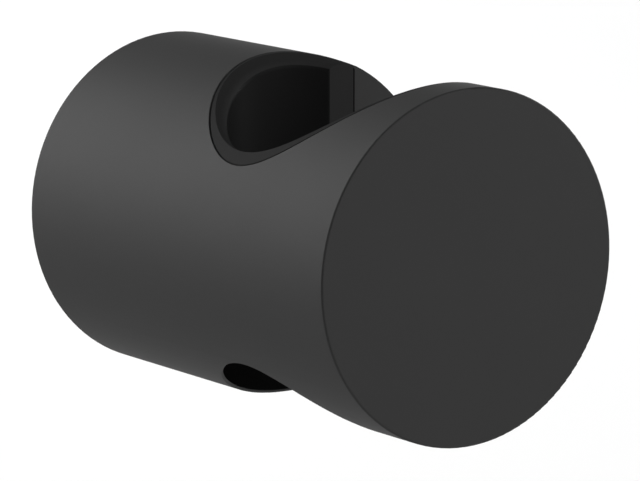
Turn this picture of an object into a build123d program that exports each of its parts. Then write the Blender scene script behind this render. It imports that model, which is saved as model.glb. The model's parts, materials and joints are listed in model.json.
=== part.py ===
from build123d import *
import os
from math import sqrt

# Wall holder for a hand shower: a plain round bar that stands out from the wall. An upright bore
# near the front end takes the tapered nut of the shower hose, and a mouth cut through the side
# of the bar lets the hose in. A plastic liner sits in the bore. The bar slides over a round
# bracket, which two screws hold to the wall, and one set screw from below locks it there.
#
# Lengths are in millimetres. The wall is the plane y = 0 and the bar points along -Y. +Z is up,
# and the mouth opens towards +X. The origin is on the bar's axis, at the wall.

# Bar
body_diameter = 35.0
body_length = 51.2
front_edge_radius = 0.2
rear_edge_chamfer = 0.2
cut_edge_chamfer = 0.2

# Seat for the hose nut
seat_diameter = 24.1
seat_front_wall = 4.2
seat_side_shift = 1.1
seat_straight_depth = 11.0
seat_foot_diameter = 21.4
mouth_width = 21.6

# Liner
liner_wall = 1.65
liner_recess = 0.05
liner_lip_width = 1.4
liner_lip_drop = 0.9
liner_lip_radius = 1.0
liner_lip_wall_share = 0.22
liner_corner_radius = 0.5
liner_lug_width = 6.0
liner_lug_height = 1.2
ledge_width = 1.15
ledge_thickness = 1.2

# Wall bracket and its screws
socket_wall = 3.5
bracket_thickness = 9.5
bracket_edge_chamfer = 0.5
groove_depth = 1.0
groove_setback = 5.0
wall_screw_spacing = 15.0
wall_screw_hole_diameter = 4.5
wall_screw_head_diameter = 8.4
wall_screw_head_angle = 90.0

# Set screw
set_screw_diameter = 4.0
set_screw_inset = 0.6
set_screw_point_diameter = 0.8
set_screw_key_width = 2.0
set_screw_key_depth = 1.6

# Clearances of the fits
liner_fit = 0.04
lug_fit = 0.15
bracket_fit = 0.15
bracket_end_gap = 0.5
thread_fit = 0.05
point_gap = 0.1

# Sizes that follow from the ones above
body_radius = body_diameter / 2
seat_radius = seat_diameter / 2
seat_foot_radius = seat_foot_diameter / 2
liner_radius = seat_radius + liner_wall
bore_radius = liner_radius + liner_fit
lower_opening_radius = bore_radius - ledge_width
seat_setback = body_length - seat_front_wall - bore_radius
bore_reach = seat_side_shift + bore_radius
ledge_height = ledge_thickness - sqrt(body_radius**2 - bore_reach**2)
liner_top_radius = body_radius - liner_recess
seat_cone_height = body_radius - seat_straight_depth
seat_low_rim = sqrt(liner_top_radius**2 - (seat_side_shift + seat_radius) ** 2)
seat_short_wall = seat_low_rim - seat_cone_height
lip_radius = min(liner_lip_radius, liner_lip_wall_share * seat_short_wall)
socket_radius = body_radius - socket_wall
socket_depth = bracket_thickness + bracket_end_gap
through_length = 2 * body_diameter
bracket_radius = socket_radius - bracket_fit
groove_root_radius = bracket_radius - groove_depth
groove_half_width = set_screw_point_diameter / 2 + groove_depth
set_screw_radius = set_screw_diameter / 2
set_screw_point_radius = set_screw_point_diameter / 2
set_screw_outer_end = set_screw_inset - body_radius
set_screw_tip = -groove_root_radius - point_gap
set_screw_cone_end = set_screw_tip - set_screw_radius + set_screw_point_radius

# Planes: the upright axis of the seat, the upright section through it, and the set screw's axis
seat_centre = (-seat_side_shift, -seat_setback, 0)
seat_plane = Plane(origin=seat_centre)
seat_section = Plane(origin=seat_centre, x_dir=(1, 0, 0), z_dir=(0, -1, 0))
seat_axis = Axis(origin=seat_centre, direction=(0, 0, 1))
set_screw_centre = (0, -groove_setback, 0)
set_screw_plane = Plane(origin=set_screw_centre)
set_screw_section = Plane(origin=set_screw_centre, x_dir=(1, 0, 0), z_dir=(0, -1, 0))
set_screw_axis = Axis(origin=set_screw_centre, direction=(0, 0, 1))

os.makedirs("parts", exist_ok=True)

# Bar: one turned piece, bored, slotted and drilled
with BuildPart() as holder_body:
    with BuildSketch(Plane.XZ):
        Circle(body_radius)
    extrude(amount=body_length)
    fillet(holder_body.edges().sort_by(Axis.Y)[0], front_edge_radius)
    chamfer(holder_body.edges().sort_by(Axis.Y)[-1], rear_edge_chamfer)

    # socket that slides over the wall bracket
    with BuildSketch(Plane.XZ):
        Circle(socket_radius)
    extrude(amount=socket_depth, mode=Mode.SUBTRACT)

    # bore for the liner, from the top down to the ledge that carries it
    with BuildSketch(seat_plane.offset(ledge_height)):
        Circle(bore_radius)
    extrude(amount=body_diameter, mode=Mode.SUBTRACT)

    # narrower opening inside the ledge, out through the underside
    with BuildSketch(seat_plane.offset(-body_diameter)):
        Circle(lower_opening_radius)
    extrude(amount=through_length, mode=Mode.SUBTRACT)

    # notch in the ledge, on the wall's side, for the liner's lug
    with BuildSketch(seat_plane.offset(ledge_height)):
        with Locations((0, bore_radius / 2)):
            Rectangle(liner_lug_width + 2 * lug_fit, bore_radius)
        Circle(bore_radius, mode=Mode.INTERSECT)
    extrude(amount=-liner_lug_height - lug_fit, mode=Mode.SUBTRACT)

    # mouth for the hose, over the bar's whole height
    with BuildSketch(seat_plane.offset(-body_diameter)):
        Rectangle(body_diameter, mouth_width, align=(Align.MIN, Align.CENTER))
    extrude(amount=through_length, mode=Mode.SUBTRACT)

    # small edge break where the bore and the mouth cut the bar's round face
    round_face = holder_body.faces().filter_by(GeomType.CYLINDER).sort_by(SortBy.AREA)[-1]
    bar_ends = round_face.edges().filter_by(GeomType.CIRCLE)
    chamfer(round_face.edges() - bar_ends, cut_edge_chamfer)

    # tapped hole for the set screw, from below into the socket
    with BuildSketch(set_screw_plane):
        Circle(set_screw_radius + thread_fit)
    extrude(amount=-body_radius, mode=Mode.SUBTRACT)

# Liner: a moulded ring, open at the mouth. Its rim follows the bar's round surface just below it
with BuildPart() as seat_liner:
    with BuildSketch(seat_section):
        with BuildLine():
            Polyline(
                (seat_foot_radius, ledge_height),
                (liner_radius, ledge_height),
                (liner_radius, body_radius),
                (seat_radius, body_radius),
                (seat_radius, seat_cone_height),
                close=True,
            )
        make_face()
    revolve(axis=seat_axis)

    # rim cut to the bar's curve
    with BuildSketch(Plane.XZ):
        Circle(liner_top_radius)
    extrude(amount=body_length, mode=Mode.INTERSECT)

    # lip: a shallow bevel that leads the nut into the seat, rounded where it meets the wall. The
    # rounding stays under a set share of the wall's height where the rim is lowest
    rim_face = seat_liner.faces().sort_by(Axis.Z)[-1]
    inner_edge = rim_face.edges().filter_by(GeomType.BSPLINE).sort_by(SortBy.LENGTH)[0]
    chamfer(inner_edge, liner_lip_width, liner_lip_drop, reference=rim_face)
    rim_edges = seat_liner.edges().filter_by(GeomType.BSPLINE).sort_by(SortBy.LENGTH)
    fillet(rim_edges[-3], lip_radius)

    # lug under the foot, on the wall's side
    with BuildSketch(seat_plane.offset(ledge_height)):
        with Locations((0, liner_radius / 2)):
            Rectangle(liner_lug_width, liner_radius)
        Circle(liner_radius, mode=Mode.INTERSECT)
        Circle(lower_opening_radius, mode=Mode.SUBTRACT)
    extrude(amount=-liner_lug_height)

    # gap for the hose, flush with the walls of the mouth and rounded off into the seat
    with BuildSketch(seat_plane.offset(-body_diameter)) as liner_gap:
        Circle(seat_radius)
        Rectangle(body_diameter, mouth_width, align=(Align.MIN, Align.CENTER))
        fillet(liner_gap.vertices().sort_by(Axis.X)[:2], liner_corner_radius)
        Circle(seat_radius, mode=Mode.SUBTRACT)
        Rectangle(body_diameter, mouth_width, align=(Align.MIN, Align.CENTER))
    extrude(amount=through_length, mode=Mode.SUBTRACT)

# Wall bracket: a turned boss with a V groove round it, drilled for two countersunk screws
with BuildPart() as wall_bracket:
    with BuildSketch(Plane.XY):
        with BuildLine():
            Polyline(
                (0, 0),
                (bracket_radius, 0),
                (bracket_radius, groove_half_width - groove_setback),
                (groove_root_radius, set_screw_point_radius - groove_setback),
                (groove_root_radius, -set_screw_point_radius - groove_setback),
                (bracket_radius, -groove_half_width - groove_setback),
                (bracket_radius, -bracket_thickness + bracket_edge_chamfer),
                (bracket_radius - bracket_edge_chamfer, -bracket_thickness),
                (0, -bracket_thickness),
                close=True,
            )
        make_face()
    revolve(axis=Axis.Y)
    with Locations(Plane.XZ.offset(bracket_thickness)):
        with GridLocations(wall_screw_spacing, 0, 2, 1):
            CounterSinkHole(
                wall_screw_hole_diameter / 2,
                wall_screw_head_diameter / 2,
                counter_sink_angle=wall_screw_head_angle,
            )

# Set screw: headless, with a hexagon socket in its lower end and a cone point in the groove
with BuildPart() as set_screw:
    with BuildSketch(set_screw_section):
        with BuildLine():
            Polyline(
                (0, set_screw_outer_end),
                (set_screw_radius, set_screw_outer_end),
                (set_screw_radius, set_screw_cone_end),
                (set_screw_point_radius, set_screw_tip),
                (0, set_screw_tip),
                close=True,
            )
        make_face()
    revolve(axis=set_screw_axis)
    with BuildSketch(set_screw_plane.offset(set_screw_outer_end)):
        RegularPolygon(set_screw_key_width / 2, 6, major_radius=False)
    extrude(amount=set_screw_key_depth, mode=Mode.SUBTRACT)

holder_body.part.label = "holder_body"
seat_liner.part.label = "seat_liner"
wall_bracket.part.label = "wall_bracket"
set_screw.part.label = "set_screw"

export_step(holder_body.part, "parts/holder_body.step")
export_step(seat_liner.part, "parts/seat_liner.step")
export_step(wall_bracket.part, "parts/wall_bracket.step")
export_step(set_screw.part, "parts/set_screw.step")
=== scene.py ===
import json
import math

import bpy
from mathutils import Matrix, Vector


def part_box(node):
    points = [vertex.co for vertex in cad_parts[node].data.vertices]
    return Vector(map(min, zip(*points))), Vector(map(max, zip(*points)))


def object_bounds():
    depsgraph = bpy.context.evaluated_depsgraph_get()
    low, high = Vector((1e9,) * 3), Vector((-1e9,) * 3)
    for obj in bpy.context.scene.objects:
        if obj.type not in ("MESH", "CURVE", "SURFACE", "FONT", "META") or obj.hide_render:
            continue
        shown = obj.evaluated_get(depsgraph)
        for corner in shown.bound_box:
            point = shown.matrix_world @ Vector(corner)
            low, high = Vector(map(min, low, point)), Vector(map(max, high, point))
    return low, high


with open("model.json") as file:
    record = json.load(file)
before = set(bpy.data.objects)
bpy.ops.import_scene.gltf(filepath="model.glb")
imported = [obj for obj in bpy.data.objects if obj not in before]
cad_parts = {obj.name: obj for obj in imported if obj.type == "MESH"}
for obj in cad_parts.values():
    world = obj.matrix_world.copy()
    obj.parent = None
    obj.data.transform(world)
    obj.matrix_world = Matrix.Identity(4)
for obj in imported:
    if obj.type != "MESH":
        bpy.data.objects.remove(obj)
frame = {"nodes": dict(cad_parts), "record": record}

# %% [markdown]
# # A matt black wall holder for a hand shower
# The frame is already here: a round bar, the plastic liner of its seat, the brass boss that it
# slides over and the set screw that locks it. Each is a node of the frame, in metres, with the wall
# at y = 0 and the bar pointing along -Y. All the shapes are made, down to the small edge breaks, so
# this lesson only dresses them: camera, then one finish at a time, then floor and light. The box of
# the bare frame is measured first.

bare_low, bare_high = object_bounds()
nodes = frame["nodes"]
print("nodes:", sorted(nodes))
print("bare box in mm:", [round(1000 * side, 2) for side in bare_high - bare_low])

# %% [markdown]
# ## Camera
# The photograph was taken from far away with a long lens, so the bar's two ends look almost the same
# size. An orthographic camera would come near, but the front end still looks a little larger. So the
# lens is a long one too: 228 mm on a 36 mm sensor, standing 0.43 m off, a little above the bar and to
# the left of its end face.

# %% Camera at the photograph's view
CAMERA_PLACE = (-0.23531, -0.35122, 0.07258)
CAMERA_HEADING = 35.952
CAMERA_DIP = 10.382
CAMERA_LENS = 227.93
CAMERA_SENSOR = 36.0


def add_camera():
    data = bpy.data.cameras.new("camera")
    data.lens = CAMERA_LENS
    data.sensor_width = CAMERA_SENSOR
    camera = bpy.data.objects.new("camera", data)
    camera.location = CAMERA_PLACE
    camera.rotation_euler = (math.radians(90 - CAMERA_DIP), 0, math.radians(-CAMERA_HEADING))
    bpy.context.scene.collection.objects.link(camera)
    bpy.context.scene.camera = camera
    return camera


camera = add_camera()
print("camera:", camera.data.lens, "mm lens at", [round(v, 3) for v in camera.location])

# %% [markdown]
# ## Shader sums in plain Python
# A finish is worked out from a few numbers at each point of a surface: how far the point is from an
# axis, how high it lies, a little noise. Wiring each sum by hand is slow to write and to read. So a
# small class wraps a socket, and Python's own signs add the Math nodes. Any other node comes from
# one method of the board.

# %% A socket that can be added, multiplied and compared
class Wire:
    """A number, colour or vector on its way through a material."""

    def __init__(self, board, socket):
        self.board = board
        self.socket = socket

    def math(self, operation, *values):
        return self.board.node("ShaderNodeMath", {"operation": operation}, list(values))

    def __add__(self, other):
        return self.math("ADD", self, other)

    def __radd__(self, other):
        return self.math("ADD", other, self)

    def __sub__(self, other):
        return self.math("SUBTRACT", self, other)

    def __rsub__(self, other):
        return self.math("SUBTRACT", other, self)

    def __mul__(self, other):
        return self.math("MULTIPLY", self, other)

    def __rmul__(self, other):
        return self.math("MULTIPLY", other, self)

    def __lt__(self, other):
        return self.math("LESS_THAN", self, other)

    def __gt__(self, other):
        return self.math("GREATER_THAN", self, other)

    def __abs__(self):
        return self.math("ABSOLUTE", self)

    def sine(self):
        return self.math("SINE", self)

    def root(self):
        return self.math("SQRT", self)

    def kept_from_0_to_1(self):
        return self.board.node("ShaderNodeClamp", {}, {"Value": self})


# %% The board that holds one material's nodes
MIX_SHARE, MIX_FIRST, MIX_SECOND, MIX_COLOUR = 0, 6, 7, 2


class Board:
    """The nodes of one material, or of the world, with the shader at their end."""

    def __init__(self, owner):
        self.owner = owner
        self.owner.use_nodes = True
        self.tree = self.owner.node_tree
        self.tree.nodes.clear()

    def node(self, kind, settings, values, output=0):
        """Adds a node. Values are sockets' values or wires, by place in a list or by name."""
        made = self.tree.nodes.new(kind)
        for name, value in settings.items():
            setattr(made, name, value)
        pairs = values.items() if isinstance(values, dict) else enumerate(values)
        for key, value in pairs:
            if isinstance(value, Wire):
                self.tree.links.new(value.socket, made.inputs[key])
            else:
                made.inputs[key].default_value = value
        return Wire(self, made.outputs[output]) if made.outputs else None

    def place(self):
        """The point on the object, in metres, as one wire and as its three coordinates."""
        point = self.node("ShaderNodeTexCoord", {}, [], "Object")
        parts = self.node("ShaderNodeSeparateXYZ", {}, [point])
        return point, [Wire(self, parts.socket.node.outputs[axis]) for axis in "XYZ"]

    def noise(self, point, size, detail=2.0, roughness=0.5):
        """Soft noise from 0 to 1, whose lumps are about the given size in metres."""
        values = {"Vector": point, "Scale": 1.0 / size, "Detail": detail, "Roughness": roughness}
        return self.node("ShaderNodeTexNoise", {}, values, "Fac")

    def blend(self, share, first, second):
        """A colour between two, by a share from 0 to 1."""
        values = {MIX_SHARE: share, MIX_FIRST: first, MIX_SECOND: second}
        return self.node("ShaderNodeMix", {"data_type": "RGBA"}, values, MIX_COLOUR)

    def bump(self, height, depth):
        """A normal from a height from 0 to 1 that stands for the given depth in metres."""
        return self.node("ShaderNodeBump", {}, {"Height": height, "Distance": depth, "Strength": 1.0})

    def principled(self, values):
        """A Principled shader with these inputs."""
        return self.node("ShaderNodeBsdfPrincipled", {}, values)

    def finish(self, shader):
        """Ends a material's board with this shader."""
        self.node("ShaderNodeOutputMaterial", {}, {"Surface": shader})
        return self.owner


# %% Helpers for the finishes
def grey(level):
    """A plain grey as a colour socket takes it."""
    return (level, level, level, 1.0)


def mount(name):
    """One of the places where the holder meets something else, from the frame's record."""
    return next(each for each in frame["record"]["mounts"] if each["name"] == name)


def dress(node_name, material):
    """Gives a node of the frame its finish, through its material slots."""
    slots = nodes[node_name].material_slots
    for slot in slots:
        slot.material = material
    print(node_name, "wears", material.name, "in", len(slots), "slot")


# %% [markdown]
# ## Where the seat is
# Two finishes change with the distance from the seat's upright axis, so that axis is measured first.
# The record gives its place and the seat's radius, and the liner's own box gives the bore's.

# %% The seat's axis
BORE_MARGIN = 0.0001

seat_x, seat_y, _ = mount("hose_seat")["pos_m"]
seat_radius = mount("hose_seat")["dims"]["r_mm"] / 1000
liner_low, liner_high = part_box("seat_liner")
bore_radius = (liner_high.y - liner_low.y) / 2 + BORE_MARGIN
print("seat axis at", seat_x, seat_y, "seat radius", seat_radius, "bore radius", round(bore_radius, 5))


def from_seat_axis(x, y):
    """How far a point lies from the seat's upright axis, in metres."""
    beside = x - seat_x
    along = y - seat_y
    return (beside * beside + along * along).root()


# %% [markdown]
# ## Matt black paint
# The bar is turned from brass and painted. Matt paint scatters light softly, with no sharp
# reflection, and its skin isn't quite even: the grain of the dried powder is about a fifth of a
# millimetre across and only some thousandths deep, over a slower waviness of a millimetre or two.
# Roughness and colour drift a little with it. One flat colour would do from a step away, but the long
# highlight would then look like plastic film, so the grain is worked out from noise at its real size.
# Inside the bore the paint is quite dull and without gloss, and its near-black colour is painted shade
# for the dark inside of the bore. It is the same piece of the frame, so its one material holds two
# shaders, and a point shows the second one where it lies near the seat's axis and below the bar's
# round skin.

# %% The paint
PAINT_DARK = grey(0.014)
PAINT_LIGHT = grey(0.017)
PAINT_GRAIN = 0.0002
PAINT_WAVE = 0.0016
PAINT_DRIFT = 0.009
PAINT_RELIEF = 0.000004
PAINT_ROUGHNESS = 0.63
GRAIN_ROUGHENS = 0.06
DRIFT_ROUGHENS = 0.04
PAINT_GLOSS = 0.17
# Painted shade: the two near-black colours below darken the inside of the bore.
BORE_PAINTED_SHADE_DARK = grey(0.002)
BORE_PAINTED_SHADE_LIGHT = grey(0.003)
BORE_PAINT_ROUGHNESS = 0.88
BORE_GRAIN_ROUGHENS = 0.08
SKIN_DEPTH = 0.0003

skin_radius = bare_high.z - SKIN_DEPTH


def matt_black_paint():
    board = Board(bpy.data.materials.new("matt_black_paint"))
    point, (x, y, z) = board.place()
    grain = board.noise(point, PAINT_GRAIN)
    wave = board.noise(point, PAINT_WAVE)
    drift = board.noise(point, PAINT_DRIFT)
    near_seat = from_seat_axis(x, y) < bore_radius
    under_skin = (x * x + z * z).root() < skin_radius
    outside = board.principled({
        "Base Color": board.blend(drift, PAINT_DARK, PAINT_LIGHT),
        "Roughness": PAINT_ROUGHNESS + GRAIN_ROUGHENS * grain + DRIFT_ROUGHENS * drift,
        "Specular IOR Level": PAINT_GLOSS,
        "Normal": board.bump(0.5 * grain + 0.5 * wave, PAINT_RELIEF),
    })
    # Painted shade: this near-black, glossless shader stands for the shade inside the bore.
    bore_painted_shade = board.principled({
        "Base Color": board.blend(drift, BORE_PAINTED_SHADE_DARK, BORE_PAINTED_SHADE_LIGHT),
        "Roughness": BORE_PAINT_ROUGHNESS + BORE_GRAIN_ROUGHENS * grain,
        "Specular IOR Level": 0.0,
    })
    share = near_seat * under_skin
    return board.finish(board.node("ShaderNodeMixShader", {}, [share, outside, bore_painted_shade]))


dress("holder_body", matt_black_paint())

# %% [markdown]
# ## Moulded liner
# The liner is black plastic from a mould. It has less gloss than the paint, and a fine even texture
# that the spark-eroded mould leaves on its rim and ends. The wall of the seat came from a polished
# core, so it is smoother; its darker colour is painted shade for the dark inside of the seat. A second
# material would need the node cut in two, so the distance from the seat's axis tells the wall from the
# rest.

# %% The plastic
PLASTIC_DARK = grey(0.015)
PLASTIC_LIGHT = grey(0.018)
# Painted shade: the seat wall's darker colour stands for the shade inside the seat.
POLISHED_WALL_PAINTED_SHADE = grey(0.006)
PLASTIC_TEXTURE = 0.00012
PLASTIC_DRIFT = 0.009
PLASTIC_RELIEF = 0.000004
POLISHED_ROUGHNESS = 0.36
TEXTURED_ROUGHENS = 0.18
TEXTURE_ROUGHENS = 0.08
PLASTIC_GLOSS = 0.012
POLISH_MARGIN = 0.00005


def moulded_plastic():
    board = Board(bpy.data.materials.new("moulded_plastic"))
    point, (x, y, _) = board.place()
    texture = board.noise(point, PLASTIC_TEXTURE)
    drift = board.noise(point, PLASTIC_DRIFT)
    textured = from_seat_axis(x, y) > seat_radius + POLISH_MARGIN
    textured_colour = board.blend(drift, PLASTIC_DARK, PLASTIC_LIGHT)
    # Painted shade: the seat wall takes the darker colour, the rest the textured plastic's.
    return board.finish(board.principled({
        "Base Color": board.blend(textured, POLISHED_WALL_PAINTED_SHADE, textured_colour),
        "Roughness": POLISHED_ROUGHNESS + TEXTURED_ROUGHENS * textured + TEXTURE_ROUGHENS * texture,
        "Specular IOR Level": PLASTIC_GLOSS,
        "Normal": board.bump(texture, PLASTIC_RELIEF),
    }))


dress("seat_liner", moulded_plastic())

# %% [markdown]
# ## Turned brass
# The boss on the wall is turned on a lathe and left bare. The tool leaves fine rings round the axis
# on its flat faces and fine threads of light along its round side, and each countersink has rings
# about its own axis. Hands and damp air have dulled the yellow a little, more in some places. The
# rings are far too fine to model, so a sine of the distance from the axis makes them as relief.

# %% The brass
BRASS_BRIGHT = (0.50, 0.37, 0.19, 1.0)
BRASS_DULL = (0.36, 0.26, 0.12, 1.0)
TOOL_PITCH = 0.00014
TOOL_WAVER = 0.0011
TOOL_WAVER_TURN = 2.0
RING_RELIEF = 0.000003
TARNISH_SIZE = 0.006
TARNISH_DETAIL = 4.0
BRASS_ROUGHNESS = 0.36
TARNISH_ROUGHENS = 0.16
COUNTERSINK_RADIUS = 0.0042

screw_offset = mount("wall_screws")["dims"]["spacing_x_mm"] / 2000
print("wall screws", screw_offset, "m to each side of the axis")


def turned_brass():
    board = Board(bpy.data.materials.new("turned_brass"))
    point, (x, y, z) = board.place()
    from_axis = (x * x + z * z).root()
    beside = abs(x) - screw_offset
    from_screw = (beside * beside + z * z).root()
    in_countersink = from_screw < COUNTERSINK_RADIUS
    ring_radius = from_axis + in_countersink * (from_screw - from_axis)
    turns = (ring_radius + y) * (2 * math.pi / TOOL_PITCH)
    waver = board.noise(point, TOOL_WAVER)
    rings = 0.5 + 0.5 * (turns + TOOL_WAVER_TURN * waver).sine()
    tarnish = board.noise(point, TARNISH_SIZE, TARNISH_DETAIL)
    return board.finish(board.principled({
        "Base Color": board.blend(tarnish, BRASS_BRIGHT, BRASS_DULL),
        "Metallic": 1.0,
        "Roughness": BRASS_ROUGHNESS + TARNISH_ROUGHENS * tarnish,
        "Normal": board.bump(rings, RING_RELIEF),
    }))


dress("wall_bracket", turned_brass())

# %% [markdown]
# ## Steel set screw
# The set screw is plain stainless steel, cut to length on a lathe and with a hexagon broached into
# its end. Turning marks would fit it too, but it is small and sits in its hole, so a soft grain in
# roughness and relief is all that shows.

# %% The steel
STEEL_BRIGHT = (0.46, 0.46, 0.47, 1.0)
STEEL_DULL = (0.34, 0.34, 0.35, 1.0)
STEEL_GRAIN = 0.00025
STEEL_CLOUD = 0.0015
STEEL_RELIEF = 0.000002
STEEL_ROUGHNESS = 0.32
STEEL_GRAIN_ROUGHENS = 0.12


def plain_steel():
    board = Board(bpy.data.materials.new("plain_steel"))
    point, _ = board.place()
    grain = board.noise(point, STEEL_GRAIN)
    cloud = board.noise(point, STEEL_CLOUD)
    return board.finish(board.principled({
        "Base Color": board.blend(cloud, STEEL_BRIGHT, STEEL_DULL),
        "Metallic": 1.0,
        "Roughness": STEEL_ROUGHNESS + STEEL_GRAIN_ROUGHENS * grain,
        "Normal": board.bump(grain, STEEL_RELIEF),
    }))


dress("set_screw", plain_steel())

# %% [markdown]
# ## Floor
# The photograph has a clean white ground. Brighter lamps would make a floor white too, but they
# would wash out the bar. So the pale floor below the bar is half plain white light, for the camera
# and for what gloss and glass mirror. The other half is matt and takes the bar's soft shadow.

# %% The floor
FLOOR_DROP = 0.03
FLOOR_SIZE = 6.0
FLOOR_CLOUD = 0.25
FLOOR_DARK = grey(0.90)
FLOOR_LIGHT = grey(0.93)
PLAIN_WHITE = grey(1.0)
WHITE_SHARE = 0.5


def pale_floor():
    board = Board(bpy.data.materials.new("pale_floor"))
    point, _ = board.place()
    cloud = board.noise(point, FLOOR_CLOUD)
    white = board.blend(cloud, FLOOR_DARK, FLOOR_LIGHT)
    seen = board.node("ShaderNodeLightPath", {}, [], "Is Camera Ray")
    mirrored = board.node("ShaderNodeLightPath", {}, [], "Is Glossy Ray")
    looked_through = board.node("ShaderNodeLightPath", {}, [], "Is Transmission Ray")
    matt = board.node("ShaderNodeBsdfDiffuse", {}, {"Color": white})
    glow = board.node("ShaderNodeEmission", {}, {"Color": PLAIN_WHITE, "Strength": 1.0})
    share = WHITE_SHARE * (seen + mirrored + looked_through)
    return board.finish(board.node("ShaderNodeMixShader", {}, [share, matt, glow]))


bpy.ops.object.select_all(action="DESELECT")
bpy.ops.mesh.primitive_plane_add(size=FLOOR_SIZE, location=(0, 0, bare_low.z - FLOOR_DROP))
floor = bpy.context.active_object
floor.name = "floor"
floor.data.materials.append(pale_floor())
print("floor at z", round(floor.location.z, 4))

# %% [markdown]
# ## Room light
# Even light comes from a room that is white near the floor and dimmer towards the ceiling, at a level
# where a colour renders about as written. A ceiling as white as the walls would flatten the bar's
# top, which the photograph shows quite dark beside the long highlight.

# %% The room
CEILING_LEVEL = 0.37
WALL_RISE = 0.6


def white_room():
    world = bpy.data.worlds.new("white_room")
    bpy.context.scene.world = world
    board = Board(world)
    direction = board.node("ShaderNodeTexCoord", {}, [], "Generated")
    rise = board.node("ShaderNodeSeparateXYZ", {}, [direction], "Z")
    wall_share = (1.0 - (1.0 / WALL_RISE) * rise).kept_from_0_to_1()
    level = CEILING_LEVEL + (1.0 - CEILING_LEVEL) * wall_share * wall_share
    light = board.node("ShaderNodeBackground", {}, {"Color": PLAIN_WHITE, "Strength": level})
    board.node("ShaderNodeOutputWorld", {}, {"Surface": light})


white_room()
print("room light from", CEILING_LEVEL, "overhead to 1 near the floor")

# %% [markdown]
# ## Softboxes
# Four round softboxes give the bar its form. A large one behind on the left makes the long highlight
# on the round side, and a large one in front on the right lights the end face. A small one behind on
# the right draws the upper edge, and another small one shines into the mouth. Each is set by the
# angle it fills and by how bright its face is, since these decide how it lights the bar, and its
# power follows from them.

# %% The softboxes
SOFTBOX_DISTANCE = 1.0
SOFTBOXES = {
    "back_softbox": {"heading": -24, "height": 20, "half_angle": 21.5, "radiance": 8.4},
    "front_softbox": {"heading": 147, "height": 18, "half_angle": 18, "radiance": 6.5},
    "edge_softbox": {"heading": 49, "height": 10, "half_angle": 6.5, "radiance": 4.5},
    "mouth_softbox": {"heading": 99, "height": 8, "half_angle": 5, "radiance": 20.0},
}


def add_softbox(name, heading, height, half_angle, radiance):
    """A round lamp that looks at the bar. Heading 0 is +Y and 90 is +X, height is above level."""
    middle = (bare_low + bare_high) / 2
    turn, rise = math.radians(heading), math.radians(height)
    out = Vector((math.sin(turn) * math.cos(rise), math.cos(turn) * math.cos(rise), math.sin(rise)))
    radius = SOFTBOX_DISTANCE * math.tan(math.radians(half_angle))
    area = math.pi * radius * radius
    data = bpy.data.lights.new(name, "AREA")
    data.shape = "DISK"
    data.size = 2 * radius
    data.energy = radiance * math.pi * area
    lamp = bpy.data.objects.new(name, data)
    lamp.location = middle + SOFTBOX_DISTANCE * out
    lamp.rotation_euler = (-out).to_track_quat("-Z", "Y").to_euler()
    lamp.visible_camera = False
    bpy.context.scene.collection.objects.link(lamp)
    print(name, "at", [round(v, 2) for v in lamp.location], "power", round(data.energy, 2))


for name, softbox in SOFTBOXES.items():
    add_softbox(name, **softbox)

# %% [markdown]
# ## View transform
# The scene shows its colours through the standard view transform.

# %% View transform
scene = bpy.context.scene
scene.view_settings.view_transform = "Standard"
